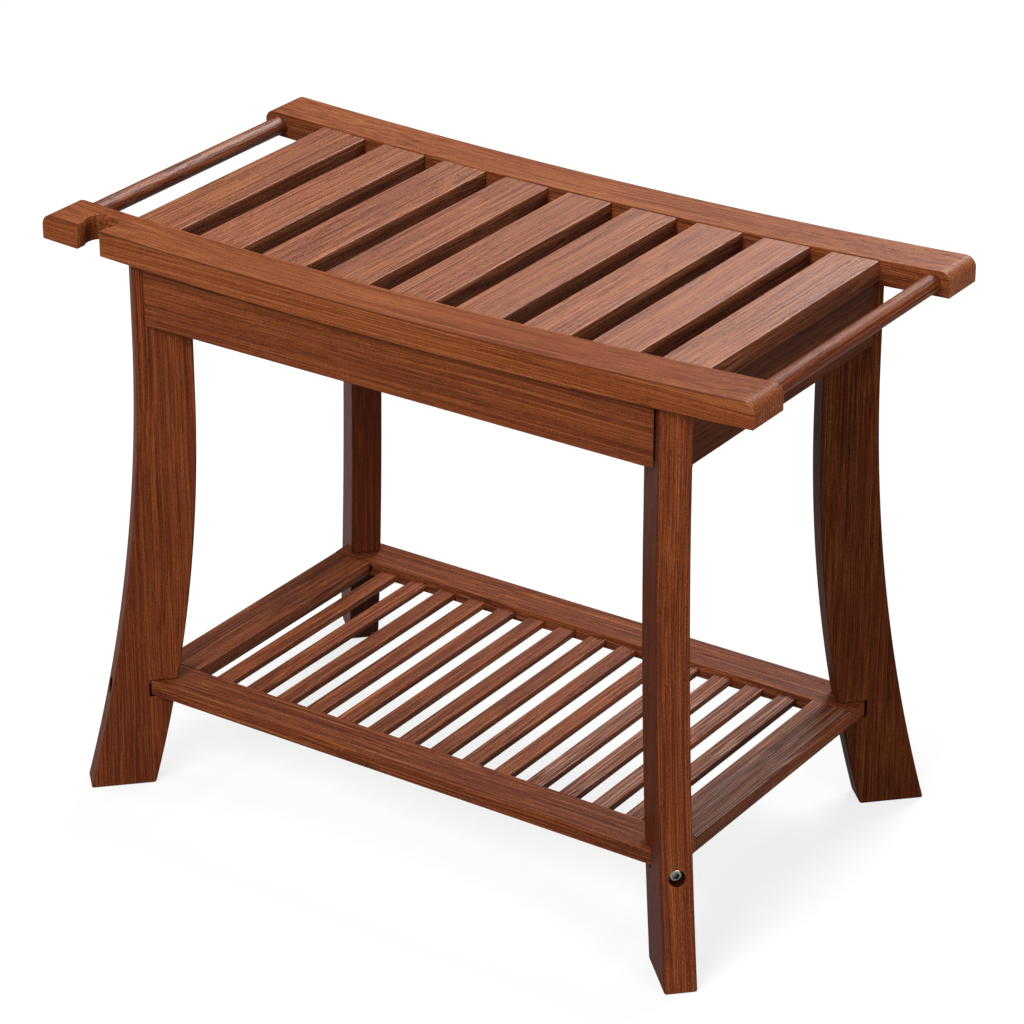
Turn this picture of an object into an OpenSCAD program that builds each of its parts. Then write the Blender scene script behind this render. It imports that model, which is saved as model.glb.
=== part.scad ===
// Slatted wooden shower bench with a dished seat, two towel bars, a hand-shower rest cut into the
// front rail, four splayed legs set diagonally in the corners, and a slatted lower shelf.
// X runs along the bench, Y runs to the back and Z up. The origin is on the floor, under the middle.

/* [Seat rails] */
// Length of the two long seat rails
seat_l = 600; // [520:5:760]
// Depth of the seat over both rails
seat_d = 306; // [270:2:380]
// Height of the seat at the ends of its rails
seat_h = 453; // [400:1:520]
// How far the middle of the seat lies below its ends
seat_dip = 7.6; // [4:0.2:14]
// Width of a rail, seen from above
rail_w = 39; // [34:0.5:50]
// Thickness of a rail
rail_t = 19.5; // [17:0.5:28]
// Radius of the round upper corner at each end of a rail
rail_end_r = 8.5; // [3:0.5:14]

/* [Seat slats] */
// Width of a seat slat
slat_w = 38.5; // [30:0.5:44]
// Thickness of a seat slat
slat_t = 15; // [10:0.5:16]
// How far the tops of the slats lie below the tops of the rails
slat_drop = 0.8; // [0:0.1:2]
// How far the outermost slats reach past the faces of the end aprons
slat_over = 7; // [2:0.5:14]
// Radius of the eased upper edges of the slats
slat_ease = 1; // [0.5:0.1:2.5]
// Length of the tenon at each end of a slat
tenon_l = 12; // [8:1:18]
// Thickness of these tenons
tenon_t = 7; // [5:0.5:9]
// Shoulder beside these tenons
tenon_shoulder = 4; // [2:0.5:8]

/* [Towel bars] */
// Diameter of a towel bar
bar_d = 14; // [10:0.5:16]
// Distance from the end of a rail to the axis of the bar
bar_in = 14; // [13:0.5:22]
// Depth that a bar goes into a rail
bar_seat = 12; // [8:1:20]

/* [Hand-shower rest] */
// Diameter of the round hole in the front rail
rest_d = 25; // [21:0.5:28]
// Width of the slot that opens the hole to the front
rest_slot = 20.5; // [14:0.5:21]
// Distance from the end of the rail to the middle of the hole
rest_end = 42.7; // [40:0.5:45]
// Distance from the front face of the rail to the middle of the hole
rest_in = 15.8; // [13:0.2:20]

/* [Aprons] */
// Thickness of the aprons
apron_t = 18; // [14:0.5:22]
// Height of the long aprons at the middle of the bench
apron_h = 46; // [42:1:70]
// Set-back of the long aprons from the outer faces of the rails
apron_in = 11.4; // [8:0.2:16]
// Set-back of the end aprons from the ends of the rails
end_in = 63.8; // [55:0.2:75]
// Diameter of the dowels between the aprons and the rails
dowel_d = 8; // [6:0.5:10]
// Length of a dowel inside the rail
dowel_up = 12; // [6:1:14]
// Length of a dowel inside the apron
dowel_down = 18; // [10:1:25]

/* [Legs] */
// Width of a leg at its top
leg_w = 42.6; // [38:0.2:52]
// Thickness of a leg
leg_t = 24; // [20:0.5:30]
// How far the outer edge of a leg lies inside the corner of the aprons, along X and along Y
leg_in = 4.1; // [1:0.1:8]
// Gap between the faces of a leg and the ends of the aprons
leg_gap = 1.2; // [0.1:0.1:2]
// How far the outer edge has swept outwards at the floor
leg_splay = 48.6; // [30:0.2:60]
// Height at which the outer edge starts to curve
leg_curve_h = 364.5; // [300:0.5:375]
// How far the inner edge has swept outwards at the floor
leg_splay_in = 41.4; // [25:0.2:46]
// Height at which the inner edge starts to curve
leg_curve_in_h = 318.7; // [280:0.1:370]

/* [Corner blocks] */
// Thickness of a corner block
block_t = 18; // [14:0.5:24]
// Height of a corner block
block_h = 38; // [34:1:42]
// Height of its lower face above the lower edges of the aprons
block_up = 5; // [1:0.5:5]
// Distance between the two bolts of a leg
bolt_gap = 19; // [14:1:22]
// Distance between the two screws at each end of a block
screw_gap = 22; // [14:1:26]

/* [Shelf] */
// Height of the top of the shelf
shelf_h = 87.6; // [60:0.2:160]
// Thickness of the shelf's frame
shelf_t = 11; // [10.5:0.5:18]
// How far the shelf reaches past the outer faces of the aprons
shelf_out = 3; // [0:0.2:6]
// Width of the boards of the shelf's frame
shelf_frame_w = 34; // [28:0.5:44]
// Width of a shelf slat
shelf_slat_w = 14.3; // [10:0.1:20]
// Thickness of a shelf slat
shelf_slat_t = 5; // [4:0.1:6]
// How far the tops of the shelf slats lie below the top of the frame
shelf_slat_drop = 3.2; // [1:0.1:4]
// Length of a shelf slat inside the frame
shelf_slat_in = 8; // [5:0.5:12]
// Radius of the eased upper edges of the shelf's boards
shelf_ease = 0.9; // [0.4:0.1:1.5]
// Width of the tenons of the shelf's end boards
shelf_tenon_w = 20; // [14:0.5:24]
// Thickness of these tenons
shelf_tenon_t = 5; // [3:0.5:6]
// Length of these tenons
shelf_tenon_l = 7; // [5:0.5:9]
// Gap above and below the shelf in the notch of a leg
notch_gap = 1.4; // [0.5:0.1:3]
// Gap between the cut corner of the shelf and the end of the notch
notch_end = 1.6; // [0.5:0.1:3]
// How far the ends of the cut corner lie inside the faces of the leg
corner_side = 1.2; // [0:0.1:2]

/* [Fasteners] */
// Diameter of the bolts
bolt_d = 6; // [5:0.5:6]
// Diameter of a bolt's head
bolt_head_d = 10; // [9:0.5:10.5]
// Height of a bolt's head
bolt_head_h = 5.5; // [4:0.5:6]
// Width across the flats of the socket in a bolt's head
bolt_key = 5; // [3:0.5:6]
// Depth of the socket
bolt_key_depth = 3; // [2:0.5:3.5]
// Depth of the counterbore for the head of a shelf bolt
bolt_sunk = 9.2; // [7:0.2:12]
// Diameter of that counterbore
bolt_sunk_d = 12; // [11:0.5:14]
// Length of a shelf bolt under its head
shelf_bolt_l = 40; // [40:1:44]
// Diameter of a cross nut in the shelf
nut_d = 9.5; // [8:0.5:10]
// Height of a cross nut
nut_h = 9; // [8:0.5:9.5]
// Distance from the cut corner of the shelf to the axis of the cross nut
nut_in = 14; // [12:0.5:16]
// Outer diameter of a threaded insert in a leg
insert_d = 9.5; // [8:0.5:11]
// Length of a threaded insert
insert_l = 15; // [10:1:18]
// Length of a leg bolt under its head
leg_bolt_l = 34; // [33:0.5:35]
// Outer diameter of a washer
washer_d = 12.5; // [12:0.5:16]
// Thickness of a washer
washer_t = 1.6; // [1:0.1:2]
// Diameter of a block screw
screw_d = 4; // [3:0.5:5]
// Diameter of its head
screw_head_d = 8; // [7:0.5:9]
// Height of its countersunk head
screw_head_h = 2.6; // [2:0.1:3.5]
// Depth that a block screw goes into an apron
screw_in = 12; // [8:1:13]

/* [Clearances] */
// Gap between glued or butted wooden faces
joint_gap = 0.1; // [0.05:0.05:0.3]
// Gap round a fastener, tenon or dowel in its hole
hole_gap = 0.1; // [0.05:0.05:0.3]
// Gap round the shank of a bolt in its through hole
shank_gap = 0.3; // [0.2:0.1:0.5]

/* [Hidden] */

$fn = 48;
arc_fn = 1440;   // for the long arcs of the rails and legs
root2 = sqrt(2);
seat_slats = 9;
shelf_slats = 14;
dowels = 6;      // on each long apron, between the tenons of the slats
past = 1;        // how far a cutter runs past the face that it cuts

rail_color = "#8a4a2a";
slat_color = "#a0603c";
bar_color = "#7a4028";
apron_color = "#74371c";
leg_color = "#80431f";
block_color = "#9a6a44";
shelf_color = "#7c4630";
shelf_slat_color = "#8c5a42";
dowel_color = "#c49a6c";
steel_color = "#c4c4c0";
brass_color = "#b08d48";

// The rails and the slats follow one arc along the bench. Its middle is far above the seat.
seat_r = (pow(seat_l / 2, 2) + pow(seat_dip, 2)) / (2 * seat_dip);
arc_z = seat_h - seat_dip + seat_r;
under_r = seat_r + rail_t;                   // lower faces of the rails
slat_under_r = seat_r + slat_drop + slat_t;  // lower faces of the slats

// Height at x of an arc of radius r about the middle of the seat's arc
function arc_height(x, r) = arc_z - sqrt(r * r - x * x);

rail_in_y = seat_d / 2 - rail_w;             // inner faces of the rails
apron_x = seat_l / 2 - end_in;
apron_y = seat_d / 2 - apron_in;
apron_z = seat_h - seat_dip - rail_t - apron_h;
apron_in_x = apron_x - apron_t;
apron_in_y = apron_y - apron_t;
dowel_y = apron_y - apron_t / 2;

// Each leg stands in its own vertical plane at 45 degrees: s runs outwards along the diagonal,
// from the outer edge of the leg's straight upper part.
leg_x = apron_x - leg_in;
leg_y = apron_y - leg_in;
leg_side = leg_t / root2 + leg_gap * root2;   // from the diagonal to an apron's end, along X or Y
leg_r = (pow(leg_curve_h, 2) + pow(leg_splay, 2)) / (2 * leg_splay);
leg_in_r = (pow(leg_curve_in_h, 2) + pow(leg_splay_in, 2)) / (2 * leg_splay_in);

// The sum of x and y on the line across the diagonal at distance s
function across(s) = leg_x + leg_y + s * root2;

block_z = apron_z + block_up;
block_s = -leg_w - joint_gap;                // face that meets the leg
block_in_s = block_s - block_t;              // face that carries the bolts' washers
bolt_zs = [for (i = [-1, 1]) block_z + block_h / 2 + i * bolt_gap / 2];
screw_zs = [for (i = [-1, 1]) block_z + block_h / 2 + i * screw_gap / 2];
screw_sunk = screw_head_d / 2 + 1;           // hides the head below the block's slanted face

shelf_x = apron_x + shelf_out;
shelf_y = apron_y + shelf_out;
shelf_in_x = shelf_x - shelf_frame_w;
shelf_in_y = shelf_y - shelf_frame_w;
shelf_mid_z = shelf_h - shelf_t / 2;
corner_w = leg_t / 2 - corner_side;          // half the width of the shelf's cut corner
corner_s = (shelf_x - leg_x + shelf_y - leg_y) / root2 - corner_w;
notch_s = corner_s + notch_end;
bolt_s = leg_r - sqrt(pow(leg_r, 2) - pow(leg_curve_h - shelf_mid_z, 2)) - bolt_sunk;
nut_s = corner_s - nut_in;
nut_z = shelf_h - shelf_t + joint_gap;

slat_pitch = (2 * (apron_x + slat_over) - slat_w) / (seat_slats - 1);
shelf_gap = (2 * shelf_in_x - shelf_slats * shelf_slat_w) / (shelf_slats + 1);

function seat_slat_x(i) = (i - (seat_slats + 1) / 2) * slat_pitch;
function shelf_slat_x(i) = (i - (shelf_slats + 1) / 2) * (shelf_slat_w + shelf_gap);
function dowel_x(i) = (i - (dowels + 1) / 2) * slat_pitch;

// ---- helpers ----

// The part is drawn in the back right quarter and mirrored into the others.
module quarter(side, end) {
    mirror([side < 0 ? 1 : 0, 0, 0]) mirror([0, end < 0 ? 1 : 0, 0]) children();
}

module all_quarters() {
    for (side = [-1, 1], end = [-1, 1]) quarter(side, end) children();
}

// Stands a child in the plane of a leg: its X is s, its Z is up.
module in_leg() {
    translate([leg_x, leg_y, 0]) rotate([0, 0, 45]) children();
}

// Turns an XZ drawing into a board of thickness w across Y
module board(w) {
    rotate([90, 0, 0]) linear_extrude(w, center = true) children();
}

module rod(d, l) {
    rotate([0, 90, 0]) cylinder(d = d, h = l);
}

// A rectangle with eased upper corners
module eased(w, t, r) {
    translate([-w / 2, -t / 2]) square([w, t - r]);
    translate([r - w / 2, -t / 2]) square([w - 2 * r, t]);
    for (i = [-1, 1]) translate([i * (w / 2 - r), t / 2 - r]) circle(r);
}

// Everything above the lower faces of the rails or slats, as an XZ drawing
module above_arc(r) {
    translate([0, arc_z]) circle(r, $fn = arc_fn);
}

// ---- seat ----

// A rail from the front: a curved bar whose upper corners are round
module rail_profile() {
    end_x = seat_l / 2 - rail_end_r;
    end_z = arc_height(end_x, seat_r + rail_end_r);
    meet_x = end_x * seat_r / (seat_r + rail_end_r);
    meet_z = arc_height(meet_x, seat_r);
    difference() {
        union() {
            translate([-meet_x, 0]) square([2 * meet_x, seat_h]);
            translate([-seat_l / 2, 0]) square([seat_l, end_z]);
            for (side = [-1, 1]) {
                translate([side * end_x, end_z]) circle(rail_end_r);
                polygon([[side * meet_x, end_z], [side * end_x, end_z], [side * meet_x, meet_z]]);
            }
        }
        above_arc(seat_r);
        difference() {
            translate([-seat_l, -past]) square([2 * seat_l, seat_h]);
            above_arc(under_r);
        }
    }
}

// A seat slat's place on the arc
module on_arc(x) {
    tilt = asin(x / seat_r);
    translate([0, 0, arc_z]) rotate([0, -tilt, 0])
        translate([0, 0, -seat_r - slat_drop - slat_t / 2]) children();
}

// Both tenons of a slat, as one bar that runs through it
module slat_tenons(gap) {
    w = slat_w - 2 * tenon_shoulder;
    cube([w + 2 * gap, 2 * (rail_in_y + tenon_l + gap), tenon_t + 2 * gap], center = true);
}

module towel_bar_hole(side) {
    x = side * (seat_l / 2 - bar_in);
    translate([x, 0, arc_height(x, seat_r + rail_t / 2)]) rotate([90, 0, 0])
        cylinder(d = bar_d + 2 * hole_gap, h = 2 * (rail_in_y + bar_seat + hole_gap), center = true);
}

module dowel_row(gap) {
    for (i = [1 : dowels], end = [-1, 1])
        translate([dowel_x(i), end * dowel_y, arc_height(dowel_x(i), under_r) - dowel_down - gap])
            cylinder(d = dowel_d + 2 * gap, h = dowel_down + dowel_up + 2 * gap);
}

module rail(end) {
    difference() {
        translate([0, end * (seat_d - rail_w) / 2, 0]) board(rail_w) rail_profile();
        for (i = [1 : seat_slats]) on_arc(seat_slat_x(i)) slat_tenons(hole_gap);
        for (side = [-1, 1]) towel_bar_hole(side);
        dowel_row(hole_gap);
    }
}

// A round hole, open to the front, in which the neck of a hand shower hangs
module shower_rest() {
    low = arc_height(0, under_r) - past;
    translate([-seat_l / 2 + rest_end, -seat_d / 2 + rest_in, low]) {
        cylinder(d = rest_d, h = seat_h);
        translate([-rest_slot / 2, -rest_in - past, 0]) cube([rest_slot, rest_in + past, seat_h]);
    }
}

module front_rail() {
    color(rail_color) difference() {
        rail(-1);
        shower_rest();
    }
}

module back_rail() {
    color(rail_color) rail(1);
}

module seat_slat(i) {
    color(slat_color) on_arc(seat_slat_x(i)) {
        board(2 * (rail_in_y - joint_gap)) eased(slat_w, slat_t, slat_ease);
        slat_tenons(0);
    }
}

module towel_bar(side) {
    x = side * (seat_l / 2 - bar_in);
    color(bar_color) translate([x, 0, arc_height(x, seat_r + rail_t / 2)]) rotate([90, 0, 0])
        cylinder(d = bar_d, h = 2 * (rail_in_y + bar_seat), center = true);
}

// ---- aprons ----

// The ends of every apron are cut at 45 degrees, against the faces of the legs.
module long_apron(end) {
    offset_x = leg_x - leg_y - leg_side;
    color(apron_color) difference() {
        translate([0, 0, apron_z]) linear_extrude(seat_h - apron_z) polygon([
            [-apron_y - offset_x, end * apron_y],
            [apron_y + offset_x, end * apron_y],
            [apron_in_y + offset_x, end * apron_in_y],
            [-apron_in_y - offset_x, end * apron_in_y],
        ]);
        board(2 * seat_d) above_arc(under_r);
        dowel_row(hole_gap);
        all_quarters() block_screw_holes();
    }
}

// The end aprons rise between the rails to carry the outermost slats.
module end_apron(side) {
    offset_y = leg_y - leg_x - leg_side;
    color(apron_color) difference() {
        translate([0, 0, apron_z]) linear_extrude(seat_h - apron_z) polygon([
            [side * apron_x, -apron_x - offset_y],
            [side * apron_x, apron_x + offset_y],
            [side * apron_in_x, apron_in_x + offset_y],
            [side * apron_in_x, -apron_in_x - offset_y],
        ]);
        board(2 * (rail_in_y - joint_gap)) above_arc(slat_under_r + joint_gap);
        for (end = [-1, 1])
            translate([0, end * (rail_in_y - joint_gap + seat_d / 2), 0]) board(seat_d) above_arc(under_r);
        all_quarters() block_screw_holes();
    }
}

module rail_dowels() {
    color(dowel_color) dowel_row(0);
}

// ---- legs ----

module leg_profile() {
    difference() {
        translate([-leg_w, 0]) square([leg_w + leg_splay, seat_h]);
        translate([0, leg_curve_h]) square([leg_splay + past, seat_h]);
        translate([leg_r, leg_curve_h]) circle(leg_r, $fn = arc_fn);
        difference() {
            translate([-leg_w - past, -past]) square([leg_splay_in + 2 * past, leg_curve_in_h + past]);
            translate([leg_in_r - leg_w, leg_curve_in_h]) circle(leg_in_r, $fn = arc_fn);
        }
    }
}

module leg(side, end) {
    color(leg_color) difference() {
        quarter(side, end) in_leg() difference() {
            board(leg_t) leg_profile();
            // Notch for the corner of the shelf
            translate([notch_s - leg_w - leg_splay, -leg_t, shelf_h - shelf_t - notch_gap])
                cube([leg_w + leg_splay, 2 * leg_t, shelf_t + 2 * notch_gap]);
            // Shelf bolt and the counterbore for its head
            translate([0, 0, shelf_mid_z]) rod(bolt_d + 2 * shank_gap, leg_splay + past);
            translate([bolt_s, 0, shelf_mid_z]) rod(bolt_sunk_d, leg_splay);
            // Threaded inserts
            for (z = bolt_zs) translate([-leg_w - past, 0, z])
                rod(insert_d + 2 * hole_gap, insert_l + hole_gap + past);
            for (z = bolt_zs) translate([-leg_w, 0, z])
                rod(bolt_d + 2 * shank_gap, leg_bolt_l - block_t - washer_t + past);
        }
        board(2 * seat_d) above_arc(under_r);
    }
}

module leg_inserts() {
    color(brass_color) all_quarters() in_leg() for (z = bolt_zs) translate([-leg_w, 0, z]) difference() {
        rod(insert_d, insert_l);
        translate([-past, 0, 0]) rod(bolt_d + 2 * hole_gap, insert_l + 2 * past);
    }
}

// ---- corner blocks ----

// A wood screw at each end of a block, square to the apron that it holds
module place_block_screws() {
    for (z = screw_zs) {
        mid_x = (across(block_s) + across(block_in_s)) / 2 - apron_in_y;
        translate([mid_x, across(block_in_s) - mid_x + screw_sunk, z]) rotate([0, 0, 90])
            children(0);
        mid_y = (across(block_s) + across(block_in_s)) / 2 - apron_in_x;
        translate([across(block_in_s) - mid_y + screw_sunk, mid_y, z]) children(1);
    }
}

// From the top of its head at the origin, along X
module block_screw(gap, reach) {
    long = reach + screw_in + gap;
    rod(screw_d + 2 * gap, long);
    rotate([0, 90, 0]) cylinder(d1 = screw_head_d + 2 * gap, d2 = screw_d + 2 * gap, h = screw_head_h);
}

// The length of a screw from its head to the face of the apron
screw_reach = apron_in_y - across(block_in_s) - screw_sunk
    + (across(block_s) + across(block_in_s)) / 2 - apron_in_y;

module block_screw_holes() {
    place_block_screws() {
        block_screw(hole_gap, screw_reach);
        block_screw(hole_gap, screw_reach);
    }
}

module block_screw_wells() {
    place_block_screws() {
        translate([-block_t, 0, 0]) rod(screw_head_d + 2 * hole_gap, block_t);
        translate([-block_t, 0, 0]) rod(screw_head_d + 2 * hole_gap, block_t);
    }
}

module block(side, end) {
    near = across(block_s);
    far = across(block_in_s);
    x = apron_in_x - joint_gap;
    y = apron_in_y - joint_gap;
    color(block_color) quarter(side, end) difference() {
        translate([0, 0, block_z]) linear_extrude(block_h)
            polygon([[near - y, y], [x, near - x], [x, far - x], [far - y, y]]);
        in_leg() for (z = bolt_zs) translate([block_in_s - past, 0, z])
            rod(bolt_d + 2 * shank_gap, block_t + 2 * past);
        block_screw_holes();
        block_screw_wells();
    }
}

module block_screws() {
    color(steel_color) all_quarters() place_block_screws() {
        block_screw(0, screw_reach);
        block_screw(0, screw_reach);
    }
}

// ---- bolts ----

// A socket-head bolt along X: its shank runs from the origin, its head lies behind it
module bolt(l) {
    difference() {
        union() {
            rod(bolt_d, l);
            translate([-bolt_head_h, 0, 0]) rod(bolt_head_d, bolt_head_h);
        }
        translate([-bolt_head_h - past, 0, 0]) rotate([0, 90, 0])
            cylinder(d = bolt_key / cos(30), h = bolt_key_depth + past, $fn = 6);
    }
}

module washer() {
    difference() {
        rod(washer_d, washer_t);
        translate([-past, 0, 0]) rod(bolt_d + 2 * shank_gap, washer_t + 2 * past);
    }
}

module leg_bolts() {
    color(steel_color) all_quarters() in_leg() for (z = bolt_zs)
        translate([block_in_s - washer_t, 0, z]) bolt(leg_bolt_l);
}

module leg_washers() {
    color(steel_color) all_quarters() in_leg() for (z = bolt_zs)
        translate([block_in_s - washer_t, 0, z]) washer();
}

module shelf_bolts() {
    color(steel_color) all_quarters() in_leg() translate([bolt_s, 0, shelf_mid_z]) mirror([1, 0, 0])
        bolt(shelf_bolt_l);
}

module shelf_nuts() {
    color(steel_color) all_quarters() in_leg() difference() {
        translate([nut_s, 0, nut_z]) cylinder(d = nut_d, h = nut_h);
        translate([nut_s - nut_d, 0, shelf_mid_z]) rod(bolt_d + 2 * hole_gap, 2 * nut_d);
    }
}

// ---- shelf ----

module shelf_slat_tongues(i, gap) {
    translate([shelf_slat_x(i), 0, shelf_h - shelf_slat_drop - shelf_slat_t / 2])
        board(2 * (shelf_in_y + shelf_slat_in + gap)) eased(shelf_slat_w + 2 * gap, shelf_slat_t + 2 * gap, shelf_ease);
}

module shelf_end_tenons(side, gap) {
    long = 2 * (shelf_in_y + shelf_tenon_l + gap);
    translate([side * (shelf_x - shelf_frame_w / 2), 0, shelf_mid_z])
        cube([shelf_tenon_w + 2 * gap, long, shelf_tenon_t + 2 * gap], center = true);
}

// The corners of the shelf are cut at 45 degrees and bolted to the legs.
module shelf_corner_cuts() {
    long = 4 * leg_t;
    all_quarters() in_leg() {
        translate([corner_s, -long / 2, 0]) cube([long, long, shelf_h + past]);
        translate([corner_s - shelf_bolt_l, 0, shelf_mid_z]) rod(bolt_d + 2 * shank_gap, long);
        translate([nut_s, 0, 0]) cylinder(d = nut_d + 2 * hole_gap, h = nut_z + nut_h + hole_gap);
    }
}

module shelf_rail(end) {
    color(shelf_color) difference() {
        translate([0, end * (shelf_y - shelf_frame_w / 2), shelf_mid_z]) rotate([90, 0, 90])
            linear_extrude(2 * shelf_x, center = true) eased(shelf_frame_w, shelf_t, shelf_ease);
        shelf_corner_cuts();
        for (side = [-1, 1]) shelf_end_tenons(side, hole_gap);
        for (i = [1 : shelf_slats]) shelf_slat_tongues(i, hole_gap);
    }
}

module shelf_end(side) {
    color(shelf_color) {
        translate([side * (shelf_x - shelf_frame_w / 2), 0, shelf_mid_z])
            board(2 * (shelf_in_y - joint_gap)) eased(shelf_frame_w, shelf_t, shelf_ease);
        shelf_end_tenons(side, 0);
    }
}

module shelf_slat(i) {
    color(shelf_slat_color) shelf_slat_tongues(i, 0);
}

// ---- the bench ----

front_rail();
back_rail();
seat_slat(1);  // seat_slat_1
seat_slat(2);  // seat_slat_2
seat_slat(3);  // seat_slat_3
seat_slat(4);  // seat_slat_4
seat_slat(5);  // seat_slat_5
seat_slat(6);  // seat_slat_6
seat_slat(7);  // seat_slat_7
seat_slat(8);  // seat_slat_8
seat_slat(9);  // seat_slat_9
towel_bar(-1);  // towel_bar_left
towel_bar(1);  // towel_bar_right
long_apron(-1);  // front_apron
long_apron(1);  // back_apron
end_apron(-1);  // left_apron
end_apron(1);  // right_apron
rail_dowels();
leg(-1, -1);  // leg_front_left
leg(1, -1);  // leg_front_right
leg(-1, 1);  // leg_back_left
leg(1, 1);  // leg_back_right
block(-1, -1);  // block_front_left
block(1, -1);  // block_front_right
block(-1, 1);  // block_back_left
block(1, 1);  // block_back_right
leg_bolts();
leg_washers();
leg_inserts();
block_screws();
shelf_rail(-1);  // shelf_front_rail
shelf_rail(1);  // shelf_back_rail
shelf_end(-1);  // shelf_end_left
shelf_end(1);  // shelf_end_right
shelf_slat(1);  // shelf_slat_1
shelf_slat(2);  // shelf_slat_2
shelf_slat(3);  // shelf_slat_3
shelf_slat(4);  // shelf_slat_4
shelf_slat(5);  // shelf_slat_5
shelf_slat(6);  // shelf_slat_6
shelf_slat(7);  // shelf_slat_7
shelf_slat(8);  // shelf_slat_8
shelf_slat(9);  // shelf_slat_9
shelf_slat(10);  // shelf_slat_10
shelf_slat(11);  // shelf_slat_11
shelf_slat(12);  // shelf_slat_12
shelf_slat(13);  // shelf_slat_13
shelf_slat(14);  // shelf_slat_14
shelf_bolts();
shelf_nuts();
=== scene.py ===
import math

import bmesh
import bpy
from mathutils import Matrix, Vector


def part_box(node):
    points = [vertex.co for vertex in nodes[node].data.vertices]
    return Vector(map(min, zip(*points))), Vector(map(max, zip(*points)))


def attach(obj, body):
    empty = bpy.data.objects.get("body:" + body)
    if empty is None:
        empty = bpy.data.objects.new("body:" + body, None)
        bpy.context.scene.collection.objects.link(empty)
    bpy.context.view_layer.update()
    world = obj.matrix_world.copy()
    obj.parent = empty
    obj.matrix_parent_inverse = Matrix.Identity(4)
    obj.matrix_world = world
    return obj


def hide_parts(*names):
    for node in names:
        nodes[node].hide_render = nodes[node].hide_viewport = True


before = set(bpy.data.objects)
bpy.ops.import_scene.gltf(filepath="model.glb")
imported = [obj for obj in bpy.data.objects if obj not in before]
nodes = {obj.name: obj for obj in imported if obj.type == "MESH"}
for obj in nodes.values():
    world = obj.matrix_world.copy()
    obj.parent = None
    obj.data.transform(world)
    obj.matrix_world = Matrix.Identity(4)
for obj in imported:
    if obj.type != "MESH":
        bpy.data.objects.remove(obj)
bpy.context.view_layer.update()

print("frame loaded:", len(nodes), "nodes")


# where the bench's curves run, worked out from the frame

seat = {
    "dip": 0.0076,          # how far the middle of a rail lies below its ends
    "railThick": 0.0195,
    "slatDrop": 0.0008,     # slats below the rails' tops
    "slatThick": 0.015,
    "play": 0.0001,         # between pieces that touch
}
tiny = 1e-6                 # points closer than this are one
near = 1e-5                 # points closer than this stand in one line

railLow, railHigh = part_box("back_rail")
halfLength = railHigh.x
seatRadius = (halfLength ** 2 + seat["dip"] ** 2) / (2 * seat["dip"])
underRadius = seatRadius + seat["railThick"]
arcCentre = railLow.z + underRadius


def arcHeight(x, radius):
    # height of the seat's arc, or of one parallel to it, at a place along the bench
    return arcCentre - math.sqrt(radius ** 2 - x ** 2)


# mesh tools

def startOutline(x, y):
    bm = bmesh.new()
    return bm, bm.verts.new((x, y, 0))


def lineTo(bm, vert, x, y):
    new = bmesh.ops.extrude_vert_indiv(bm, verts=[vert])["verts"][0]
    new.co = (x, y, 0)
    return new


def arcRound(bm, vert, x, y, degrees, steps):
    # goes on from vert, round the point x, y
    turned = bmesh.ops.spin(bm, geom=[vert], cent=(x, y, 0), axis=(0, 0, 1),
                            angle=math.radians(degrees), steps=steps)
    return [g for g in turned["geom_last"] if isinstance(g, bmesh.types.BMVert)][0]


def closeOutline(bm, height):
    # joins the ends of the outline, fills it and raises it into a block
    bmesh.ops.remove_doubles(bm, verts=bm.verts, dist=tiny)
    ends = [v for v in bm.verts if len(v.link_edges) == 1]
    if len(ends) == 2:
        bm.edges.new(ends)
    bmesh.ops.contextual_create(bm, geom=bm.edges[:])
    raised = bmesh.ops.extrude_face_region(bm, geom=bm.faces[:])["geom"]
    moved = [g for g in raised if isinstance(g, bmesh.types.BMVert)]
    bmesh.ops.translate(bm, verts=moved, vec=(0, 0, height))
    bmesh.ops.recalc_face_normals(bm, faces=bm.faces)


def sliceAlongX(bm, spacing):
    # cuts the block across its length, so that it can follow a curve
    low, high = min(v.co.x for v in bm.verts), max(v.co.x for v in bm.verts)
    count = int((high - low) / spacing)
    for i in range(1, count):
        at = low + (high - low) * i / count
        bmesh.ops.bisect_plane(bm, geom=bm.verts[:] + bm.edges[:] + bm.faces[:],
                               plane_co=(at, 0, 0), plane_no=(1, 0, 0), dist=tiny)


def sharpEdges(bm, degrees=30):
    limit = math.radians(degrees)
    return [e for e in bm.edges if len(e.link_faces) == 2 and e.calc_face_angle(0) > limit]


def easeEdges(bm, radius, edges=None, segments=3):
    bmesh.ops.bevel(bm, geom=edges or sharpEdges(bm), offset=radius, offset_type="OFFSET",
                    segments=segments, profile=0.5, affect="EDGES", material=-1, clamp_overlap=False)


def finishPiece(name, bm, material, node):
    # makes the mesh an object that stands for the node
    bmesh.ops.remove_doubles(bm, verts=bm.verts, dist=tiny)
    bmesh.ops.recalc_face_normals(bm, faces=bm.faces)
    mesh = bpy.data.meshes.new(name)
    bm.to_mesh(mesh)
    bm.free()
    mesh.shade_smooth()
    mesh.set_sharp_from_angle(angle=math.radians(35))      # rounded edges stay smooth
    piece = bpy.data.objects.new(name, mesh)
    bpy.context.scene.collection.objects.link(piece)
    mesh.materials.append(material)
    weighted = piece.modifiers.new("Weighted normals", "WEIGHTED_NORMAL")
    weighted.keep_sharp = True
    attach(piece, "root")
    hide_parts(node)
    return piece


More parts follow.
